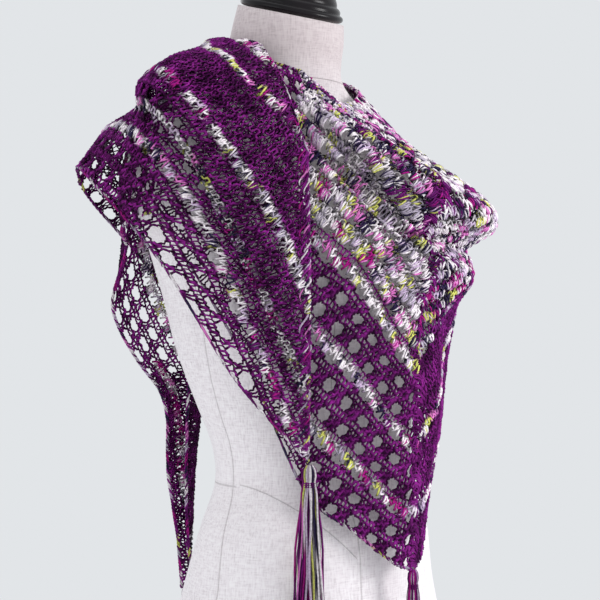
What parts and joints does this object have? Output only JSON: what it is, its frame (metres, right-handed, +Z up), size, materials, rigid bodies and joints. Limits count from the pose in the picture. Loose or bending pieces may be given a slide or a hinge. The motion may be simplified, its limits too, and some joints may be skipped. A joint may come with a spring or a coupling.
{
  "type": "lace shawl on a limbless dress form",
  "caption": "Triangular crocheted lace shawl with a yarn tassel at each point, wound as a cowl round a limbless linen dress form on a short turned stand",
  "frame": {"origin": "centre of the base's underside, on the floor, on the pole's axis", "axes": "+Z up; the dress form faces -Y; the form's own left is +X"},
  "size_m": [0.4352, 0.385, 1.0125],
  "materials": {
    "shawl_lace": "matte crocheted wool yarn, plum with a mixed strand",
    "tassel_yarn": "matte loose yarn of mixed colours",
    "form_linen": "matte plain-woven linen, stretched and glued",
    "cap_lacquer": "gloss lacquer, near black plum",
    "stand_wood": "dark satin stain"
  },
  "bodies": {
    "root": {"front_drape": "shawl_lace", "back_drape": "shawl_lace", "shoulder_flap": "shawl_lace", "back_tail": "shawl_lace", "tassel_front": "tassel_yarn", "tassel_flap": "tassel_yarn", "tassel_back": "tassel_yarn", "form_torso": "form_linen", "neck_cap": "cap_lacquer", "stand_pole": "stand_wood", "stand_base": "stand_wood"}
  },
  "joints": []
}
